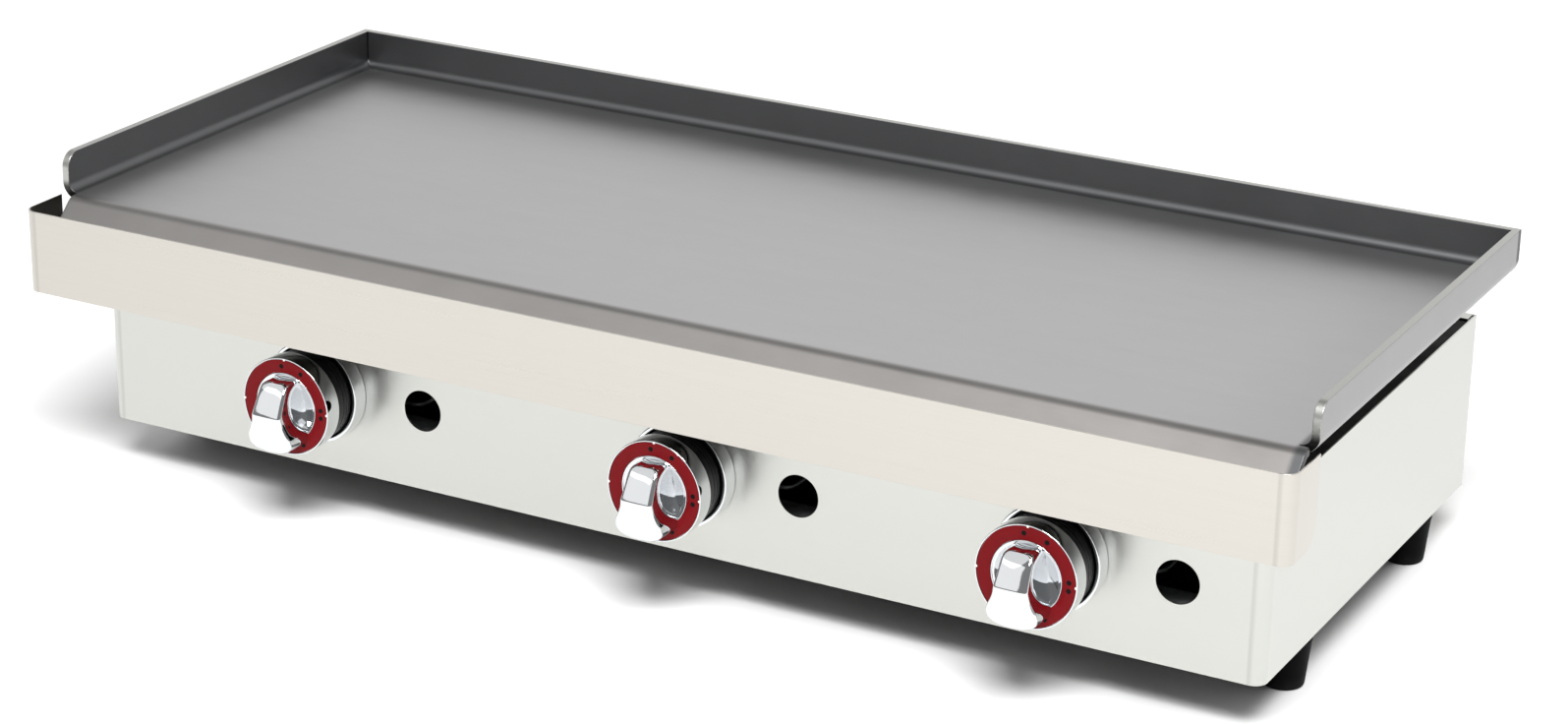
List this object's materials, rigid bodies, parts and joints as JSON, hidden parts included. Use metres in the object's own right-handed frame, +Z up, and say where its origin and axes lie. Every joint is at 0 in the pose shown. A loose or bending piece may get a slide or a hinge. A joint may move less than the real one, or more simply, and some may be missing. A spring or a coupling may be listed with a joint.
{
  "type": "flat top griddle",
  "caption": "Countertop gas flat top griddle: a folded steel plate over a stainless body with burners, push-and-turn control knobs and a pull-out front grease drawer.",
  "frame": {"origin": "on the surface the feet stand on, at the middle of the width and of the depth from the knobs' grips to the gas inlet", "axes": "+Z up, +X to the user's right, front faces -Y"},
  "size_m": [1.005, 0.4948, 0.2467],
  "materials": {
    "plate_steel": "rolled mild steel, satin",
    "brushed_stainless": "fine brushed, warm",
    "panel_stainless": "fine brushed, pale",
    "galvanised": "galvanised sheet",
    "burner_steel": "dull stainless tube",
    "brass": "machined",
    "chrome": "mirror",
    "black_plastic": "satin moulded",
    "red_dial": "gloss red print",
    "foot_rubber": "matt"
  },
  "bodies": {
    "chassis": {"base_pan": "galvanised", "bezel_1": "chrome", "bezel_2": "chrome", "bezel_3": "chrome", "body_shell": "panel_stainless", "burner_1": "burner_steel", "burner_2": "burner_steel", "burner_3": "burner_steel", "burner_rest": "galvanised", "drawer_runner_left": "galvanised", "drawer_runner_right": "galvanised", "foot_front_left": "foot_rubber", "foot_front_right": "foot_rubber", "foot_rear_left": "foot_rubber", "foot_rear_right": "foot_rubber", "gas_inlet": "brass", "gas_manifold": "galvanised", "griddle_plate": "plate_steel", "heat_shield": "galvanised", "injector_1": "brass", "injector_2": "brass", "injector_3": "brass", "inlet_nut": "brass", "plate_post_front_left": "galvanised", "plate_post_front_right": "galvanised", "plate_post_rear_left": "galvanised", "plate_post_rear_right": "galvanised", "rail_left": "galvanised", "rail_right": "galvanised", "rear_panel": "panel_stainless", "tap_body_1": "brass", "tap_body_2": "brass", "tap_body_3": "brass", "tap_bonnet_1": "brass", "tap_bonnet_2": "brass", "tap_bonnet_3": "brass", "thermocouple_1": "galvanised", "thermocouple_2": "galvanised", "thermocouple_3": "galvanised"},
    "drawer": {"drawer_front": "brushed_stainless", "drawer_trough": "brushed_stainless", "drawer_arm_left": "galvanised", "drawer_arm_right": "galvanised"},
    "plug_1": {"tap_plug_1": "brass"},
    "knob_1": {"knob_cap_1": "chrome", "dial_ring_1": "red_dial", "knob_skirt_1": "black_plastic", "spindle_1": "galvanised"},
    "plug_2": {"tap_plug_2": "brass"},
    "knob_2": {"knob_cap_2": "chrome", "dial_ring_2": "red_dial", "knob_skirt_2": "black_plastic", "spindle_2": "galvanised"},
    "plug_3": {"tap_plug_3": "brass"},
    "knob_3": {"knob_cap_3": "chrome", "dial_ring_3": "red_dial", "knob_skirt_3": "black_plastic", "spindle_3": "galvanised"}
  },
  "joints": [
    {"name": "drawer_slide", "type": "slide", "parent": "chassis", "child": "drawer", "axis": [0, -1, 0], "range_m": [0, 0.12]},
    {"name": "tap_turn_1", "type": "hinge", "parent": "chassis", "child": "plug_1", "pos_m": [-0.27427, -0.16515, 0.1013], "axis": [0, -1, 0], "range_deg": [0, 170]},
    {"name": "knob_push_1", "type": "slide", "parent": "plug_1", "child": "knob_1", "axis": [0, 1, 0], "range_m": [0, 0.0035], "stiffness_N_per_m": 1000, "springref_m": -0.002},
    {"name": "tap_turn_2", "type": "hinge", "parent": "chassis", "child": "plug_2", "pos_m": [0.0359, -0.16515, 0.1013], "axis": [0, -1, 0], "range_deg": [0, 170]},
    {"name": "knob_push_2", "type": "slide", "parent": "plug_2", "child": "knob_2", "axis": [0, 1, 0], "range_m": [0, 0.0035], "stiffness_N_per_m": 1000, "springref_m": -0.002},
    {"name": "tap_turn_3", "type": "hinge", "parent": "chassis", "child": "plug_3", "pos_m": [0.31877, -0.16515, 0.1013], "axis": [0, -1, 0], "range_deg": [0, 170]},
    {"name": "knob_push_3", "type": "slide", "parent": "plug_3", "child": "knob_3", "axis": [0, 1, 0], "range_m": [0, 0.0035], "stiffness_N_per_m": 1000, "springref_m": -0.002}
  ]
}
